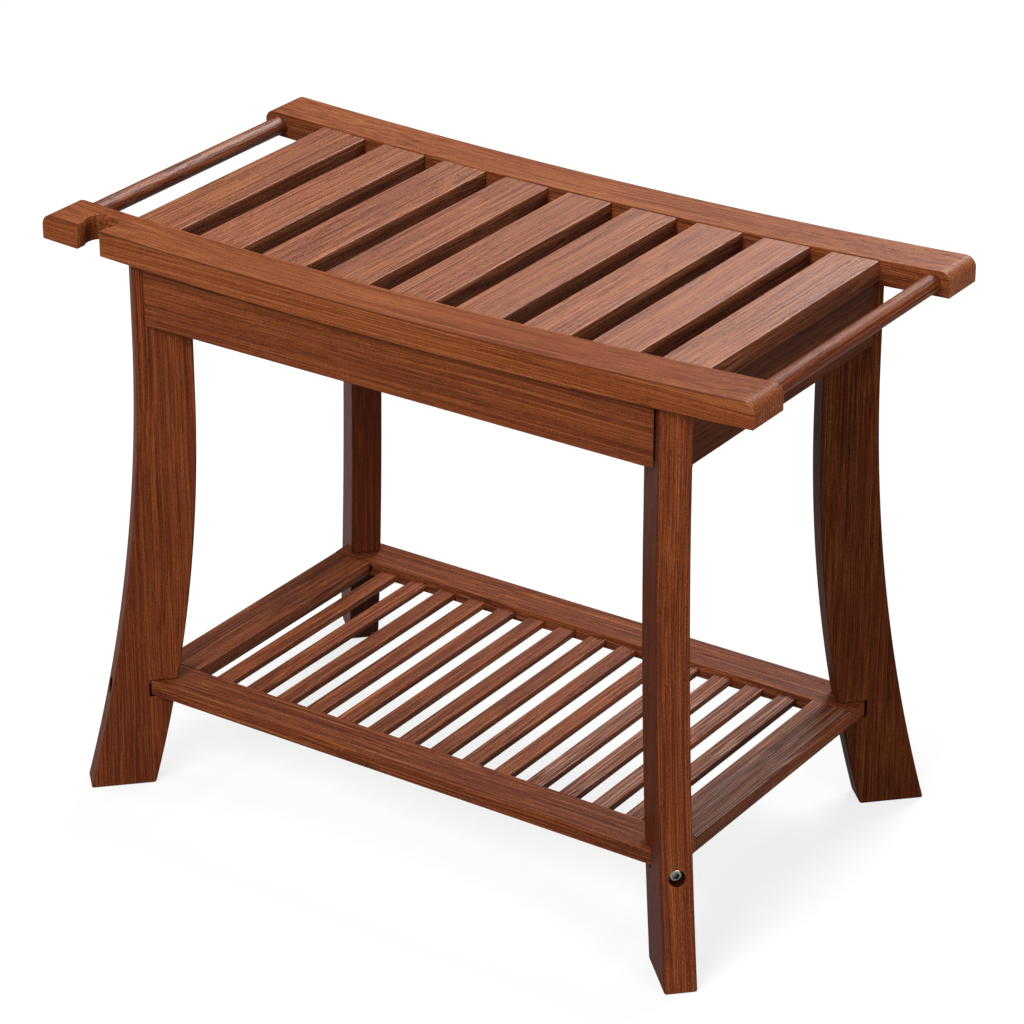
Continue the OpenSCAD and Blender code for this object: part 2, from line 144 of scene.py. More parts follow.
def cutOut(piece, cutter):
    # takes the cutter's shape out of the piece and leaves a plain mesh
    cut = piece.modifiers.new("Cut", "BOOLEAN")
    cut.operation = "DIFFERENCE"
    cut.solver = "EXACT"
    cut.object = cutter
    others = [m.name for m in piece.modifiers if m.name != "Cut"]
    for other in others:
        piece.modifiers[other].show_viewport = False
    bpy.context.view_layer.update()
    depsgraph = bpy.context.evaluated_depsgraph_get()
    result = bpy.data.meshes.new_from_object(piece.evaluated_get(depsgraph))
    piece.modifiers.remove(cut)
    for other in others:
        piece.modifiers[other].show_viewport = True
    old = piece.data
    piece.data = result
    result.name = piece.name
    bpy.data.meshes.remove(old)
    bpy.data.meshes.remove(cutter.data)


# wood

wood = {
    "dark": (0.075, 0.016, 0.006),
    "middle": (0.208, 0.051, 0.0145),
    "pale": (0.365, 0.124, 0.044),
    "pore": (0.030, 0.007, 0.003),
    "sheenColour": (0.52, 0.30, 0.22),
    "roughness": 0.40,
    "ringWidth": 0.0031,
    "bump": 0.0005,         # depth of the open grain
}


def newMaterial(name):
    material = bpy.data.materials.new(name)
    material.use_nodes = True
    tree = material.node_tree
    tree.nodes.clear()
    output = tree.nodes.new("ShaderNodeOutputMaterial")
    shader = tree.nodes.new("ShaderNodeBsdfPrincipled")
    tree.links.new(shader.outputs["BSDF"], output.inputs["Surface"])
    return material, tree, shader


def link(tree, start, end):
    # a socket, or a plain value, goes into the input end
    if isinstance(start, bpy.types.NodeSocket):
        tree.links.new(start, end)
    else:
        end.default_value = start


def maths(tree, operation, *values):
    node = tree.nodes.new("ShaderNodeMath")
    node.operation = operation
    for socket, value in zip(node.inputs, values):
        link(tree, value, socket)
    return node.outputs[0]


def vectorMaths(tree, operation, *values):
    node = tree.nodes.new("ShaderNodeVectorMath")
    node.operation = operation
    for socket, value in zip(node.inputs, values):
        link(tree, value, socket)
    return node.outputs["Value" if operation in ("LENGTH", "DOT_PRODUCT") else "Vector"]


def noise(tree, vector, scale, detail=2.0, roughness=0.55):
    # scale is how many features there are to the metre, along each axis
    node = tree.nodes.new("ShaderNodeTexNoise")
    node.inputs["Scale"].default_value = 1.0
    node.inputs["Detail"].default_value = detail
    node.inputs["Roughness"].default_value = roughness
    link(tree, vectorMaths(tree, "MULTIPLY", vector, scale), node.inputs["Vector"])
    return node.outputs["Fac"]


def spread(tree, value, low, high, toLow=0.0, toHigh=1.0):
    node = tree.nodes.new("ShaderNodeMapRange")
    node.interpolation_type = "SMOOTHSTEP"
    for socket, v in zip(node.inputs, (value, low, high, toLow, toHigh)):
        link(tree, v, socket)
    return node.outputs[0]


def mixColours(tree, factor, first, second, blend="MIX"):
    node = tree.nodes.new("ShaderNodeMix")
    node.data_type = "RGBA"
    node.blend_type = blend
    for socket, v in zip((node.inputs[0], node.inputs[6], node.inputs[7]), (factor, first, second)):
        link(tree, (*v, 1) if isinstance(v, tuple) and len(v) == 3 else v, socket)
    return node.outputs[2]


def addUp(tree, value, *parts):
    # each part is a pattern, the level it swings round and how much of it counts
    for pattern, level, share in parts:
        value = maths(tree, "MULTIPLY_ADD", maths(tree, "SUBTRACT", pattern, level), share, value)
    return value


def teak(name, grain="x", turn=0, pitch=(10, 10, 10), start=(-5, -5, -5), heart=(0.25, 0.10), tone=0.0,
         toneSpread=0.08, rings=0.6, gloss=0.10, polish=0.0, contrast=1.0, inside=(0, 0, 0), sides=0.0,
         dim=1.0, sheenLines=0.0, edge=None, seam=None, sweep=None):
    material, tree, shader = newMaterial(name)
    place = tree.nodes.new("ShaderNodeTexCoord").outputs["Object"]

    # every board has its own number, and with it its own piece of the pattern and its own tone
    steps = vectorMaths(tree, "DIVIDE", vectorMaths(tree, "SUBTRACT", place, start), pitch)
    dice = tree.nodes.new("ShaderNodeTexWhiteNoise")
    link(tree, vectorMaths(tree, "FLOOR", steps), dice.inputs["Vector"])
    number, colour = dice.outputs["Value"], dice.outputs["Color"]

    # the first axis of the turned place runs along the grain
    turned = tree.nodes.new("ShaderNodeMapping")
    turned.inputs["Rotation"].default_value = (0, 0, math.radians(turn))
    link(tree, place, turned.inputs["Vector"])
    parts = tree.nodes.new("ShaderNodeSeparateXYZ")
    link(tree, turned.outputs[0], parts.inputs[0])
    order = {"x": (0, 1, 2), "y": (1, 0, 2), "z": (2, 0, 1)}[grain]
    along = tree.nodes.new("ShaderNodeCombineXYZ")
    for socket, i in zip(along.inputs, order):
        link(tree, parts.outputs[i], socket)
    facing = tree.nodes.new("ShaderNodeNewGeometry").outputs["Normal"]
    if sweep:
        # a leg is cut from a straight board: only on its curved edges do the lines follow the curve
        sideways = (math.cos(math.radians(turn)), -math.sin(math.radians(turn)), 0)
        onEdge = maths(tree, "ABSOLUTE", vectorMaths(tree, "DOT_PRODUCT", facing, sideways))
        below = maths(tree, "MAXIMUM", maths(tree, "SUBTRACT", sweep["height"], parts.outputs[2]), 0.0)
        bend = sweep["side"] * 0.5 / sweep["radius"]
        out = maths(tree, "MULTIPLY", maths(tree, "MULTIPLY", below, below), bend)
        out = maths(tree, "MULTIPLY", out, spread(tree, onEdge, 0.5, 0.8))
        link(tree, maths(tree, "SUBTRACT", parts.outputs[0], out), along.inputs[1])
    lie = vectorMaths(tree, "ADD", along.outputs[0], vectorMaths(tree, "MULTIPLY", colour, (3.0, 1.0, 1.0)))

    # the grain wanders a little across the board
    sway = addUp(tree, 0.0, (noise(tree, lie, (2.4, 9.0, 9.0), 2.0), 0.5, 0.016))
    lean = tree.nodes.new("ShaderNodeCombineXYZ")
    link(tree, sway, lean.inputs[1])
    link(tree, sway, lean.inputs[2])
    lie = vectorMaths(tree, "ADD", lie, lean.outputs[0])

    # growth rings, round a heart that lies outside the board
    middle = vectorMaths(tree, "MULTIPLY_ADD", colour, (0.0, 0.06, 0.06), (0.0, heart[0], heart[1]))
    across = vectorMaths(tree, "ADD", vectorMaths(tree, "ADD", along.outputs[0], lean.outputs[0]), middle)
    reach = vectorMaths(tree, "LENGTH", vectorMaths(tree, "MULTIPLY", across, (0.0, 1.0, 1.0)))
    spacing = noise(tree, vectorMaths(tree, "MULTIPLY", across, (0.0, 1.0, 1.0)), (1.0, 60.0, 60.0), 1.0)
    count = addUp(tree, maths(tree, "DIVIDE", reach, wood["ringWidth"]), (spacing, 0.5, 3.0))
    turnIn = maths(tree, "FRACT", count)
    late = maths(tree, "MULTIPLY", spread(tree, turnIn, 0.35, 0.9), spread(tree, turnIn, 0.9, 1.0, 1.0, 0.0))

    # end grain shows the rings more, and faces that look towards the middle of the bench are darker: painted
    # shade, for the less light that reaches them there
    axis = {"x": (1, 0, 0), "y": (0, 1, 0), "z": (0, 0, 1)}[grain]
    lengthwise = maths(tree, "ABSOLUTE", vectorMaths(tree, "DOT_PRODUCT", facing, axis))
    endGrain = spread(tree, lengthwise, 0.45, 0.9)
    outwards = vectorMaths(tree, "MULTIPLY", facing, vectorMaths(tree, "SIGN", place))
    inner = spread(tree, vectorMaths(tree, "DOT_PRODUCT", outwards, inside), -0.9, -0.4, 1.0, 0.0)
    # upright faces are darkened by sides (on the seat slats): painted shade, as in the gaps between the slats
    upright = maths(tree, "ABSOLUTE", vectorMaths(tree, "DOT_PRODUCT", facing, (0, 0, 1)))
    upright = spread(tree, upright, 0.2, 0.6, 1.0, 0.0)

    fibre = noise(tree, lie, (3.5, 1050.0, 1050.0), 2.0, 0.60)
    fine = noise(tree, lie, (700.0, 1900.0, 1900.0), 1.0)
    band = noise(tree, lie, (1.8, 80.0, 80.0), 2.0)
    broad = noise(tree, lie, (3.5, 14.0, 14.0), 2.0)
    streak = spread(tree, noise(tree, lie, (3.2, 210.0, 210.0), 2.0), 0.58, 0.72)
    pores = spread(tree, noise(tree, lie, (48.0, 1350.0, 1350.0), 1.0), 0.62, 0.70)

    value = addUp(tree, 0.5 + tone, (endGrain, 0.0, 0.12), (inner, 0.0, -0.28), (upright, 0.0, -sides),
                  (fibre, 0.5, contrast), (fine, 0.5, 0.50 * contrast), (band, 0.5, 0.30),
                  (broad, 0.5, 0.34), (streak, 0.0, -0.12), (number, 0.5, 2 * toneSpread))
    ringShare = maths(tree, "MULTIPLY_ADD", endGrain, -0.22, -0.13 * rings)
    value = maths(tree, "MULTIPLY_ADD", late, ringShare, value)
    bar = tree.nodes.new("ShaderNodeValToRGB")
    stops = bar.color_ramp.elements
    stops.new(0.5)
    for stop, position, colourName in zip(stops, (0.05, 0.5, 0.95), ("dark", "middle", "pale")):
        stop.position = position
        stop.color = (*wood[colourName], 1)
    link(tree, value, bar.inputs[0])
    shade = mixColours(tree, maths(tree, "MULTIPLY", pores, 0.40), bar.outputs[0], wood["pore"])
    # this multiplier darkens the whole piece: painted shade for pieces that lie in shadow
    shade = mixColours(tree, 1.0, shade, (dim, dim, dim), "MULTIPLY")
    if sheenLines:
        # painted sheen: fine pale lines along the grain on the upper side, where it catches the light
        lines = spread(tree, noise(tree, lie, (4.0, 950.0, 950.0), 1.0), 0.50, 0.66, 0.0, sheenLines)
        lines = maths(tree, "MULTIPLY", lines, maths(tree, "SUBTRACT", 1.0, upright))
        shade = mixColours(tree, lines, shade, wood["sheenColour"])

    apart = tree.nodes.new("ShaderNodeSeparateXYZ")
    link(tree, place, apart.inputs[0])
    if edge:
        # a dark line along the rail's long upper front edge
        square = maths(tree, "MULTIPLY", apart.outputs[0], apart.outputs[0])
        rise = maths(tree, "MULTIPLY", square, 0.5 / seatRadius)
        rise = maths(tree, "SUBTRACT", maths(tree, "SUBTRACT", apart.outputs[2], edge["z"]), rise)
        off = maths(tree, "SUBTRACT", apart.outputs[1], edge["y"])
        off = maths(tree, "SQRT", maths(tree, "MULTIPLY_ADD", off, off, maths(tree, "MULTIPLY", rise, rise)))
        line = spread(tree, off, 0.0006, 0.0013, 0.75, 0.0)
        shade = mixColours(tree, line, shade, wood["dark"])
    if seam:
        # a dark line where the board's ends meet the rails
        off = maths(tree, "ABSOLUTE", apart.outputs[1])
        line = spread(tree, off, seam - 0.0010, seam - 0.0004, 0.0, 0.9)
        shade = mixColours(tree, line, shade, wood["pore"])
    link(tree, shade, shader.inputs["Base Color"])

    rough = addUp(tree, wood["roughness"] - polish, (fibre, 0.5, 0.35), (pores, 0.0, 0.20),
                  (upright, 0.0, 3.0 * sides))
    link(tree, rough, shader.inputs["Roughness"])
    shader.inputs["Specular IOR Level"].default_value = gloss

    bump = tree.nodes.new("ShaderNodeBump")
    bump.inputs["Strength"].default_value = 0.8
    bump.inputs["Distance"].default_value = wood["bump"]
    relief = addUp(tree, 0.0, (fibre, 0.0, 0.6), (fine, 0.0, 0.35), (pores, 0.0, -0.5))
    link(tree, relief, bump.inputs["Height"])
    link(tree, bump.outputs[0], shader.inputs["Normal"])
    return material


def metal(name, colour, roughness):
    material, tree, shader = newMaterial(name)
    place = tree.nodes.new("ShaderNodeTexCoord").outputs["Object"]
    grime = noise(tree, place, (420.0, 420.0, 420.0), 3.0)
    brushed = noise(tree, place, (2600.0, 2600.0, 500.0), 2.0)
    shade = mixColours(tree, spread(tree, grime, 0.35, 0.75), colour, tuple(0.72 * c for c in colour))
    link(tree, shade, shader.inputs["Base Color"])
    shader.inputs["Metallic"].default_value = 1.0
    rough = maths(tree, "ADD", roughness, maths(tree, "MULTIPLY", brushed, 0.16))
    link(tree, rough, shader.inputs["Roughness"])
    bump = tree.nodes.new("ShaderNodeBump")
    bump.inputs["Strength"].default_value = 0.12
    bump.inputs["Distance"].default_value = 0.0001
    link(tree, brushed, bump.inputs["Height"])
    link(tree, bump.outputs[0], shader.inputs["Normal"])
    return material


margin = 0.006              # a slat's own piece of the pattern starts this far beside it
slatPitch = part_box("seat_slat_2")[0].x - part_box("seat_slat_1")[0].x
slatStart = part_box("seat_slat_1")[0].x - margin
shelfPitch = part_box("shelf_slat_2")[0].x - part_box("shelf_slat_1")[0].x
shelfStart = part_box("shelf_slat_1")[0].x - margin

# two boards of a kind differ to the left and right of the middle, or in front of it and behind
sideBySide = {"pitch": (0.4, 10, 10), "start": (-0.4, -5, -5)}
frontAndBack = {"pitch": (10, 0.4, 10), "start": (-5, -0.4, -5)}
topMiddle = arcCentre - seatRadius      # height of the rails' tops in the middle

railTeaks = {
    "frontRail": teak("front rail teak", "x", heart=(0.45, -0.47), tone=-0.02, gloss=0.07, contrast=1.5,
                      inside=(0, 1, 0), edge={"y": -railHigh.y, "z": topMiddle}),
    "backRail": teak("back rail teak", "x", heart=(0.45, -0.47), tone=0.10, contrast=1.8, inside=(0, 1, 0)),
}
slatTeak = teak("seat slat teak", "y", pitch=(slatPitch, 10, 10), start=(slatStart, -5, -5),
                heart=(0.5, -0.4), tone=0.10, toneSpread=0.05, rings=0.8, gloss=0.24, contrast=2.8,
                sides=0.13, seam=railLow.y)
barTeak = teak("towel bar teak", "y", heart=(0.5, -0.4), tone=-0.14, gloss=0.24, polish=0.05, contrast=2.6)
dullBarTeak = teak("dull towel bar teak", "y", heart=(0.45, -0.3), tone=-0.16, gloss=0.08, contrast=2.2)
longApronTeak = teak("long apron teak", "x", **frontAndBack, heart=(0.05, -0.1), tone=-0.12, toneSpread=0.02,
                     contrast=1.5, inside=(0, 1, 0))
# the end aprons are dimmed all over: painted shade
endApronTeak = teak("end apron teak", "y", **sideBySide, heart=(0.05, -0.1), tone=-0.14, dim=0.46,
                    toneSpread=0.02, contrast=1.4, gloss=0.04, inside=(1, 0, 0))
shelfRailTeak = teak("shelf rail teak", "x", **frontAndBack, heart=(0.3, -0.1), tone=-0.20, toneSpread=0.03,
                     contrast=2.2)
shelfEnd = {"heart": (0.5, -0.1), "rings": 0.3, "seam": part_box("shelf_back_rail")[0].y}
shelfEndTeak = teak("shelf end teak", "y", **sideBySide, **shelfEnd, tone=-0.16, contrast=2.4)
# these boards are darker, with painted sheen in pale lines along the grain
sheenEndTeak = teak("shelf end teak with painted sheen", "y", **sideBySide, **shelfEnd, tone=-0.31, contrast=2.6,
                    sheenLines=0.52)
shelfSlat = {"pitch": (shelfPitch, 10, 10), "start": (shelfStart, -5, -5), "heart": (0.5, -0.1), "rings": 0.3}
shelfSlatTeak = teak("shelf slat teak", "y", **shelfSlat, tone=-0.18, toneSpread=0.06, contrast=2.6)
sheenSlatTeak = teak("shelf slat teak with painted sheen", "y", **shelfSlat, tone=-0.31, toneSpread=0.03, contrast=2.6,
                     sheenLines=0.52)
# dark and dull, for the notch faces and the bolt holes in the legs: painted shade in these recesses
notchShadeTeak = teak("notch shade teak", "z", tone=-0.45, dim=0.3, gloss=0.0)
blockTeak = teak("corner block teak", "x", pitch=(0.4, 0.4, 10), start=(-0.4, -0.4, -5))
dowelBeech = teak("dowel beech", "z", tone=0.4)
steel = metal("stainless steel", (0.62, 0.61, 0.58), 0.24)
# dark, for the walls of the bolts' sockets: painted shade in the recess
socketShadeSteel = metal("socket shade steel", (0.05, 0.05, 0.05), 0.4)
brass = metal("brass", (0.62, 0.43, 0.18), 0.3)
print("materials made:", len(bpy.data.materials))


# seat rails

rail = {
    "endRadius": 0.0085,    # of the upper corners at both ends
    "endSteps": 10,
    "ease": 0.0008,
    "slice": 0.012,         # length of a straight piece of the arc
}
rest = {
    "inset": 0.0427,        # from the rail's end to the middle of the hole
    "depth": 0.0158,        # from the rail's front to the middle of the hole
    "radius": 0.0125,
    "steps": 40,            # round the hole
    "slot": 0.0205,         # width of the way in from the front
}


def railOutline(end):
    # seen from above; the front rail has the hole for the hand shower
    low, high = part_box("front_rail" if end < 0 else "back_rail")
    bm, vert = startOutline(low.x, low.y)
    if end < 0:
        middle = Vector((low.x + rest["inset"], low.y + rest["depth"]))
        half = rest["slot"] / 2
        inward = math.sqrt(rest["radius"] ** 2 - half ** 2)
        turn = 360 - 2 * math.degrees(math.asin(half / rest["radius"]))
        vert = lineTo(bm, vert, middle.x - half, low.y)
        vert = lineTo(bm, vert, middle.x - half, middle.y - inward)
        vert = arcRound(bm, vert, middle.x, middle.y, -turn, rest["steps"])
        vert = lineTo(bm, vert, middle.x + half, low.y)
    vert = lineTo(bm, vert, high.x, low.y)
    vert = lineTo(bm, vert, high.x, high.y)
    lineTo(bm, vert, low.x, high.y)
    closeOutline(bm, seat["railThick"])
    return bm


def bendRail(bm):
    # lays the straight rail along the seat's arc
    for v in bm.verts:
        v.co.z += arcHeight(v.co.x, underRadius)


def makeRail(name, end):
    bm = railOutline(end)
    upperEnds = [e for e in bm.edges if abs(e.verts[0].co.x - e.verts[1].co.x) < near
                 and all(v.co.z > seat["railThick"] / 2 and abs(v.co.x) > halfLength - near for v in e.verts)]
    easeEdges(bm, rail["endRadius"], upperEnds, rail["endSteps"])
    sliceAlongX(bm, rail["slice"])
    bendRail(bm)
    easeEdges(bm, rail["ease"])
    finishPiece(name, bm, railTeaks[name], name.replace("Rail", "_rail"))


makeRail("frontRail", -1)
makeRail("backRail", 1)
print("rails made")


# aprons

apron = {
    "thick": 0.018,
    "ease": 0.0010,
    "slice": 0.015,         # length of a straight piece of the arc
}


def makeLongApron(name, node, end):
    low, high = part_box(node)
    outer, inner = (low.y, high.y) if end < 0 else (high.y, low.y)
    bm, vert = startOutline(low.x, outer)
    vert = lineTo(bm, vert, high.x, outer)
    vert = lineTo(bm, vert, high.x - apron["thick"], inner)
    lineTo(bm, vert, low.x + apron["thick"], inner)
    closeOutline(bm, 1)
    sliceAlongX(bm, apron["slice"])
    for v in bm.verts:
        v.co.z = arcHeight(v.co.x, underRadius) if v.co.z > 0.5 else low.z
    easeEdges(bm, apron["ease"])
    finishPiece(name, bm, longApronTeak, node)


def makeEndApron(name, node, side):
    low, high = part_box(node)
    outer, inner = (low.x, high.x) if side < 0 else (high.x, low.x)
    railInside = railLow.y - seat["play"]
    slatUnder = seatRadius + seat["slatDrop"] + seat["slatThick"] + seat["play"]
    # seen from the end: y across, and upwards the lower edge, the rails' underside and the slats'
    bm, vert = startOutline(low.y, 0)
    for y, up in ((high.y, 0), (high.y, 1), (railInside, 1), (railInside, 2),
                  (-railInside, 2), (-railInside, 1), (low.y, 1)):
        vert = lineTo(bm, vert, y, up)
    closeOutline(bm, 1)
    for v in bm.verts:
        y, up, inwards = v.co
        x = outer + (inner - outer) * inwards
        top = {0: low.z, 1: arcHeight(x, underRadius), 2: arcHeight(x, slatUnder)}[round(up)]
        mitre = apron["thick"] * inwards if abs(y) > railInside + near else 0
        v.co = (x, y - math.copysign(mitre, y), top)
    easeEdges(bm, apron["ease"])
    finishPiece(name, bm, endApronTeak, node)


makeLongApron("frontApron", "front_apron", -1)
makeLongApron("backApron", "back_apron", 1)
makeEndApron("leftApron", "left_apron", -1)
makeEndApron("rightApron", "right_apron", 1)
print("aprons made")


# legs

leg = {
    "width": 0.0426,
    "thick": 0.024,
    "splay": 0.0486,                # how far the foot's outer edge is swept outwards
    "curveHeight": 0.3645,          # where the outer edge's curve starts
    "splayInside": 0.0414,          # the same for the inner edge
    "curveHeightInside": 0.3187,
    "ease": 0.0018,
    "notchEnd": 0.0009,             # how far the notch reaches past the upper part's outer edge
    "notchGap": 0.0014,             # above and below the shelf
    "boltHole": 0.006,              # radius
    "holeSides": 48,
    "boltSunk": 0.0092,             # depth of the hole, where its middle meets the outer edge
    "spare": 0.004,                 # length at the top, until it is cut to the seat's curve
    "arcSteps": 26,                 # along each edge
    "arcStepsBelow": 8,             # those of the inner edge that lie below the notch
}
shelfLow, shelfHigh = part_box("shelf_front_rail")
shelfMiddle = (shelfLow.z + shelfHigh.z) / 2
notchLow = shelfLow.z - leg["notchGap"]
notchHigh = shelfHigh.z + leg["notchGap"]


def sweepRadius(height, splay):
    return (height ** 2 + splay ** 2) / (2 * splay)


def sweepAt(z, height, splay):
    # how far a curved edge has swept outwards at height z
    radius = sweepRadius(height, splay)
    return radius - math.sqrt(radius ** 2 - max(height - z, 0) ** 2)


def legOutline():
    # seen from the side: x is outwards along the diagonal and y is up
    outer = sweepRadius(leg["curveHeight"], leg["splay"])
    inner = sweepRadius(leg["curveHeightInside"], leg["splayInside"])
    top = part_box("leg_front_right")[1].z + leg["spare"]

    def innerAngle(z):
        return math.degrees(math.asin((leg["curveHeightInside"] - z) / inner))

    bm, vert = startOutline(0, top)
    vert = lineTo(bm, vert, 0, leg["curveHeight"])
    full = math.degrees(math.asin(leg["curveHeight"] / outer))
    vert = arcRound(bm, vert, outer, leg["curveHeight"], full, leg["arcSteps"])
    vert = lineTo(bm, vert, leg["splayInside"] - leg["width"], 0)
    centre = (inner - leg["width"], leg["curveHeightInside"])
    vert = arcRound(bm, vert, *centre, innerAngle(notchLow) - innerAngle(0), leg["arcStepsBelow"])
    vert = lineTo(bm, vert, leg["notchEnd"], notchLow)
    vert = lineTo(bm, vert, leg["notchEnd"], notchHigh)
    at = sweepAt(notchHigh, leg["curveHeightInside"], leg["splayInside"]) - leg["width"]
    vert = lineTo(bm, vert, at, notchHigh)
    vert = arcRound(bm, vert, *centre, -innerAngle(notchHigh), leg["arcSteps"] - leg["arcStepsBelow"])
    lineTo(bm, vert, -leg["width"], top)
    closeOutline(bm, leg["thick"])
    return bm


def legTeak(corner, side, turn, **settings):
    radius = sweepRadius(leg["curveHeight"], leg["splay"])
    sweep = {"side": side, "height": leg["curveHeight"], "radius": radius}
    return teak(corner.replace("_", " ") + " leg teak", "z", turn=turn, sweep=sweep, rings=0.4, **settings)


diagonal = (0.7, 0.7, 0)
legTeaks = {
    # inside picks the faces of a leg that get painted shade
    "front_right": legTeak("front_right", 1, 45, start=(5, -5, -5), heart=(-0.1, 0.13), tone=-0.17,
                           contrast=1.5, gloss=0.05, inside=(0.7, -0.7, 0)),
    "front_left": legTeak("front_left", -1, -45, heart=(0.5, 0.3), tone=-0.24, contrast=1.3, gloss=0.06,
                          inside=diagonal),
    # the back legs are darker all over: painted shade, most on the back right leg as a painted shadow
    "back_left": legTeak("back_left", -1, 45, heart=(0.5, 0.3), tone=-0.20, dim=0.84, contrast=1.3,
                         inside=diagonal),
    "back_right": legTeak("back_right", 1, -45, heart=(0.0, 0.3), tone=-0.18, dim=0.47, contrast=1.8,
                          gloss=0.03),
}


turnedToX = Matrix.Rotation(math.radians(90), 4, "Y")      # lays what stands on z along x

# x runs outwards in the plane of the back right leg, from its upper part's outer edge
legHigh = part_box("leg_back_right")[1]
legReach = (leg["splay"] + leg["thick"] / 2) / math.sqrt(2)
legPlane = (Matrix.Translation((legHigh.x - legReach, legHigh.y - legReach, 0))
            @ Matrix.Rotation(math.radians(45), 4, "Z"))
boltSeat = sweepAt(shelfMiddle, leg["curveHeight"], leg["splay"]) - leg["boltSunk"]   # under the head


def intoCorner(bm, side, end):
    # mirrors what stands in the back right corner into its own corner
    bmesh.ops.scale(bm, vec=(side, end, 1), verts=bm.verts)
    bmesh.ops.recalc_face_normals(bm, faces=bm.faces)


def makeCutter(bm):
    mesh = bpy.data.meshes.new("cutter")
    bm.to_mesh(mesh)
    bm.free()
    cutter = bpy.data.objects.new("cutter", mesh)
    bpy.context.scene.collection.objects.link(cutter)
    return cutter


def inNotch(vert):
    # the notch is left with sharp edges, and its faces take a dark material: painted shade in the gaps round
    # the shelf
    offLow = abs(vert.co.z - notchLow)
    offHigh = abs(vert.co.z - notchHigh)
    return min(offLow, offHigh) < near


def makeLeg(corner, side, end):
    bm = legOutline()
    bmesh.ops.translate(bm, verts=bm.verts, vec=(0, 0, -leg["thick"] / 2))
    bmesh.ops.transform(bm, matrix=legPlane @ Matrix.Rotation(math.radians(90), 4, "X"), verts=bm.verts)
    for face in bm.faces:
        face.material_index = int(all(inNotch(v) for v in face.verts))
    for v in bm.verts:
        if v.co.z > legHigh.z:
            v.co.z = arcHeight(v.co.x, underRadius)
    intoCorner(bm, side, end)
    easeEdges(bm, leg["ease"], [e for e in sharpEdges(bm) if not all(inNotch(v) for v in e.verts)])
    name = "leg" + corner.title().replace("_", "")
    piece = finishPiece(name, bm, legTeaks[corner], "leg_" + corner)
    piece.data.materials.append(notchShadeTeak)

    # counterbore for the shelf bolt, its walls in the dark notch material: painted shade
    hole = bmesh.new()
    length = leg["splay"]       # enough to reach past the outer edge
    bmesh.ops.create_cone(hole, cap_ends=True, segments=leg["holeSides"], radius1=leg["boltHole"],
                          radius2=leg["boltHole"], depth=length)
    for face in hole.faces:
        face.material_index = 1
    place = legPlane @ Matrix.Translation((boltSeat + length / 2, 0, shelfMiddle)) @ turnedToX
    bmesh.ops.transform(hole, matrix=place, verts=hole.verts)
    intoCorner(hole, side, end)
    cutOut(piece, makeCutter(hole))


corners = {"front_left": (-1, -1), "front_right": (1, -1), "back_left": (-1, 1), "back_right": (1, 1)}
for corner, (side, end) in corners.items():
    makeLeg(corner, side, end)
print("legs made")


# shelf bolts

bolt = {
    "length": 0.040,        # under the head
    "shank": 0.003,         # radii
    "head": 0.005,
    "high": 0.0055,
    "round": 0.0013,        # rounded rim of the head
    "roundSteps": 8,
    "sides": 48,
    "chamfer": 0.0004,
    "key": 0.005,           # across the flats of the socket
    "keyDepth": 0.003,
}


def boltShape():
    # half of its section, turned about the x axis
    bm, vert = startOutline(-bolt["length"], 0)
    for x, y in ((-bolt["length"], bolt["shank"] - bolt["chamfer"]),
                 (-bolt["length"] + bolt["chamfer"], bolt["shank"]), (0, bolt["shank"]),
                 (0, bolt["head"] - bolt["chamfer"]), (bolt["chamfer"], bolt["head"]),
                 (bolt["high"] - bolt["round"], bolt["head"])):
        vert = lineTo(bm, vert, x, y)
    vert = arcRound(bm, vert, bolt["high"] - bolt["round"], bolt["head"] - bolt["round"], -90,
                    bolt["roundSteps"])
    lineTo(bm, vert, bolt["high"], 0)
    bmesh.ops.remove_doubles(bm, verts=bm.verts, dist=tiny)
    bmesh.ops.spin(bm, geom=bm.verts[:] + bm.edges[:], cent=(0, 0, 0), axis=(1, 0, 0),
                   angle=math.tau, steps=bolt["sides"], use_merge=True)
    bmesh.ops.remove_doubles(bm, verts=bm.verts, dist=tiny)
    return bm


def socketShape():
    bm = bmesh.new()
    radius = bolt["key"] / 2 / math.cos(math.radians(30))
    bmesh.ops.create_cone(bm, cap_ends=True, segments=6, radius1=radius, radius2=radius,
                          depth=2 * bolt["keyDepth"])
    # the socket's walls take the dark steel: painted shade in the recess
    for face in bm.faces:
        face.material_index = 1 if len(face.verts) == 4 else 0
    place = Matrix.Translation((bolt["high"], 0, 0)) @ turnedToX
    bmesh.ops.transform(bm, matrix=place, verts=bm.verts)
    return bm


def inEveryLeg(shape):
    # one mesh with the shape at the bolt's place in all four legs
    joined = bmesh.new()
    place = legPlane @ Matrix.Translation((boltSeat, 0, shelfMiddle))
    for side, end in corners.values():
        bm = shape()
        bmesh.ops.transform(bm, matrix=place, verts=bm.verts)
        intoCorner(bm, side, end)
        mesh = bpy.data.meshes.new("corner")
        bm.to_mesh(mesh)
        bm.free()
        joined.from_mesh(mesh)
        bpy.data.meshes.remove(mesh)
    return joined


bolts = finishPiece("shelfBolts", inEveryLeg(boltShape), steel, "shelf_bolts")
# dark steel on the socket walls: painted shade
bolts.data.materials.append(socketShadeSteel)     # for the walls of the socket
cutOut(bolts, makeCutter(inEveryLeg(socketShape)))
print("bolts made")


# the pieces that stay as they come

